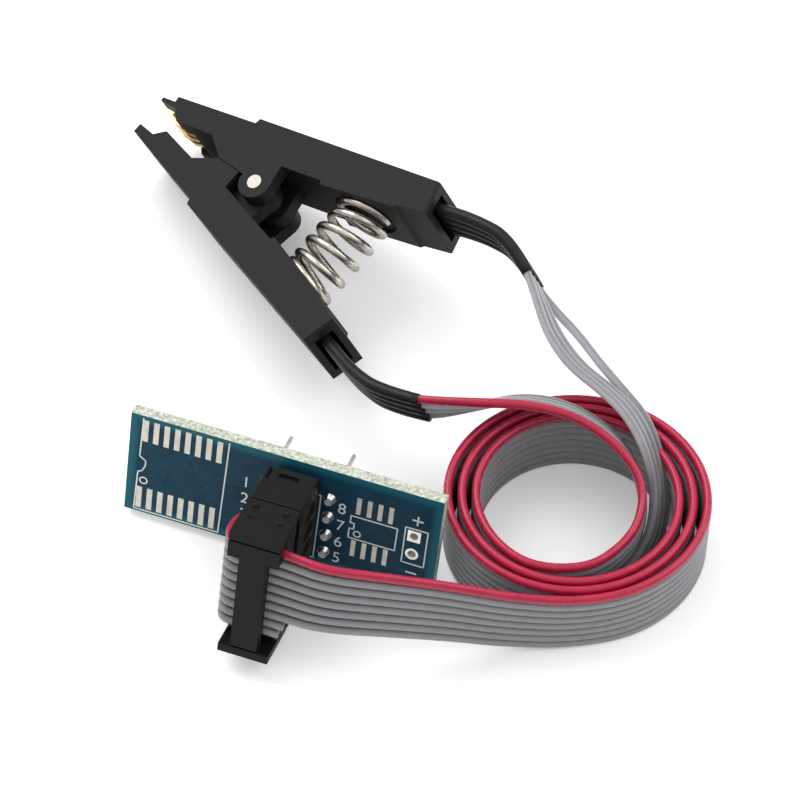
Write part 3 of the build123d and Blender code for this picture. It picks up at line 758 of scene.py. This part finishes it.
def ring(bm, x, z, radius, width, thick, steps=24):
    centre = on_board(x, FRONT, z)
    corners = [(radius, 0), (radius + width, 0), (radius + width, -thick), (radius, -thick)]
    section = [bm.verts.new(centre + BOARD_X * out * MM + BOARD_Y * up * MM) for out, up in corners]
    face = bm.faces.new(section)
    bmesh.ops.spin(bm, geom=[*section, *face.edges, face], cent=centre, axis=BOARD_Y, angle=2 * math.pi,
                   steps=steps, use_merge=True)
    bmesh.ops.delete(bm, geom=[f for f in bm.faces if f == face], context="FACES_ONLY")


def board_piece(name, bm, slot, material):
    bmesh.ops.remove_doubles(bm, verts=bm.verts, dist=PLATE_SEAM)
    bmesh.ops.recalc_face_normals(bm, faces=bm.faces)
    mesh = bpy.data.meshes.new(name)
    bm.to_mesh(mesh)
    bm.free()
    return add_piece(name, mesh, "base", slot, material)


# %% Pads
CHIP_PITCH = 1.27
PAD_THICK = 0.03
# Each row: count, middle of its first pad along and up the board, width and height of a pad
PAD_ROWS = [
    (8, 1.86, 11.75, 0.66, 3.0),
    (8, 1.66, 2.12, 0.66, 3.0),
    (4, 27.55, 9.9, 0.55, 2.3),
    (4, 27.45, 3.78, 0.55, 2.3),
]
pad_bm = bmesh.new()
for count, first, up, width, height in PAD_ROWS:
    for number in range(count):
        plate(pad_bm, first + number * CHIP_PITCH, up, width, height, PAD_THICK)
pads = board_piece("chip_pads", pad_bm, "solder_tin", pad_tin)
print("pads", sum(row[0] for row in PAD_ROWS), "faces", len(pads.data.polygons))

# %% Traces and vias
TRACE_WIDTH = 0.22
TRACE_THICK = 0.008
VIA_HOLE = 0.16
VIA_RIM = 0.16
VIA_SIDES = 16
HOLE_MIDDLE = 0.01
HOLE_THICK = 0.01
VIAS = [(1.86, 8.8), (4.65, 7.52), (6.46, 8.5), (8.29, 8.6), (9.58, 6.2)]
TRACES = [
    [(1.86, 10.3), (1.86, 8.8)],
    [(4.4, 10.3), (4.4, 9.0), (6.46, 8.5)], [(5.67, 10.3), (5.9, 9.4), (8.29, 8.6)],
    [(4.2, 3.6), (4.2, 5.4), (4.65, 7.52)], [(8.0, 3.6), (8.0, 5.0), (9.58, 6.2)],
    [(4.65, 7.52), (7.0, 6.6), (13.0, 6.6)], [(8.29, 8.6), (10.6, 7.9), (13.2, 7.9)],
    [(9.58, 6.2), (11.4, 4.2), (13.4, 4.2)], [(6.46, 8.5), (9.0, 9.4), (13.0, 9.4)],
    [(24.9, 9.7), (26.4, 11.6), (27.5, 11.6)], [(24.9, 4.6), (26.2, 2.2), (27.4, 2.2)],
    [(31.4, 11.2), (32.6, 11.6), (34.3, 10.0), (34.3, 8.8)],
    [(31.3, 2.5), (32.6, 2.2), (34.3, 3.4), (34.3, 4.6)],
    [(32.6, 6.9), (33.2, 6.9)],
]
trace_bm = bmesh.new()
for points in TRACES:
    chain(trace_bm, points, TRACE_WIDTH, TRACE_THICK)
for x, z in VIAS:
    ring(trace_bm, x, z, VIA_HOLE, VIA_RIM, TRACE_THICK, VIA_SIDES)
board_piece("mask_traces", trace_bm, "board_mask", trace_mask)
# Each via hole is a near-black disc of painted shade, standing for the shade inside the hole.
via_bm = bmesh.new()
for x, z in VIAS:
    ring(via_bm, x, z, HOLE_MIDDLE, VIA_HOLE - HOLE_MIDDLE, HOLE_THICK, VIA_SIDES)
board_piece("via_holes", via_bm, "board_mask", painted_hole_shade)
print("traces", len(TRACES), "vias", len(VIAS))

# %% Ink
INK = 0.16
INK_THICK = 0.016
SIGN_INK = 0.2
SIGN = 0.55
NUMBER_SIZE = 2.1
OUTLINES = [
    # The wide chip with its notch
    [(1.5, 13.38), (1.38, 8.0), (2.14, 7.48), (2.14, 6.76), (1.82, 6.01), (1.3, 5.68), (1.14, 0.3),
     (11.46, 0.3), (11.82, 13.38)],
    # The bracket beside the header
    [(22.5, 9.9), (23.06, 9.9), (22.98, 0.8), (22.5, 0.8)],
    # The small chip with its notch
    [(26.78, 7.32), (26.81, 8.34), (32.3, 8.34), (32.25, 5.16), (26.73, 5.16), (26.74, 6.5),
     (27.26, 6.5), (27.26, 7.32), (26.78, 7.32)],
    # The box round the power holes
    [(33.2, 9.0), (35.84, 9.0), (35.84, 3.95), (33.2, 3.95), (33.2, 9.0)],
]
FIRST_PIN_RINGS = [(2.05, 4.62, 0.36), (27.72, 5.92, 0.32)]
PLUS = (34.5, 10.25)
MINUS = (34.5, 2.7)
NUMBERS = [
    (1, 14.2, 8.6), (2, 14.2, 6.3), (3, 14.2, 4.0), (4, 14.2, 1.7),
    (8, 25.65, 8.8), (7, 25.65, 6.4), (6, 25.65, 4.0), (5, 25.65, 1.7),
]
ink_bm = bmesh.new()
for points in OUTLINES:
    chain(ink_bm, points, INK, INK_THICK)
for x, z, radius in FIRST_PIN_RINGS:
    ring(ink_bm, x, z, radius, INK, INK_THICK)
for x, z in (PLUS, MINUS):
    stroke(ink_bm, (x - SIGN, z), (x + SIGN, z), SIGN_INK, INK_THICK)
stroke(ink_bm, (PLUS[0], PLUS[1] - SIGN), (PLUS[0], PLUS[1] + SIGN), SIGN_INK, INK_THICK)


def number_on_board(bm, text, x, z, size):
    data = bpy.data.curves.new("pin_number", "FONT")
    data.body = text
    data.size = size * MM
    data.align_x = "CENTER"
    data.align_y = "CENTER"
    data.extrude = INK_THICK / 2 * MM
    holder = bpy.data.objects.new("pin_number", data)
    scene.collection.objects.link(holder)
    bpy.context.view_layer.update()
    mesh = bpy.data.meshes.new_from_object(holder.evaluated_get(bpy.context.evaluated_depsgraph_get()))
    axes = (BOARD_X, BOARD_Z, -BOARD_Y)
    turn = Matrix(axes).transposed().to_4x4()
    mesh.transform(Matrix.Translation(on_board(x, FRONT - INK_THICK / 2, z)) @ turn)
    bm.from_mesh(mesh)
    bpy.data.objects.remove(holder)
    bpy.data.meshes.remove(mesh)


for number, x, z in NUMBERS:
    number_on_board(ink_bm, str(number), x, z, NUMBER_SIZE)
ink = board_piece("board_ink", ink_bm, "board_mask", silk_ink)
print("ink faces", len(ink.data.polygons))

# %% [markdown]
# ## Metal parts
# Pins, contacts and solder keep their solids, and take a brighter finish each.

# %% Finishes of the solids that stay
METALS = {
    "contact": gold, "header_pins": gold, "pivot_pin": steel,
    "pin_solder": solder_tin, "power_pads": solder_tin, "plug_in_pins": pin_tin,
}
for name, node in nodes.items():
    if node.hide_render:
        continue
    dress = next(metal for word, metal in METALS.items() if word in name)
    node.data.materials.clear()
    node.data.materials.append(dress)
    print(name, dress.name)

# %% [markdown]
# ## Cords
# Every conductor is declared with its measured length.
# The upper arm's leads end where the ribbon takes them up inside the coil, and the ribbon ends in the plug.

# %% Cords, sizes and the end
plug_pieces = [bpy.data.objects[n] for n in ("plug_body", "plug_cover", "plug_strap")]
sleeve_of = {f"lead_wire_{n + 1}": sleeves[n] for n in range(GROUP)}
sleeve_of.update({f"ribbon_wire_{n + 1}": sleeves[n] for n in range(GROUP, WIRES)})
for piece, path, length, part in conductors:
    held = [sleeve_of[piece.name]] if piece.name in sleeve_of else []
    if part == "ribbon":
        held = held + plug_pieces
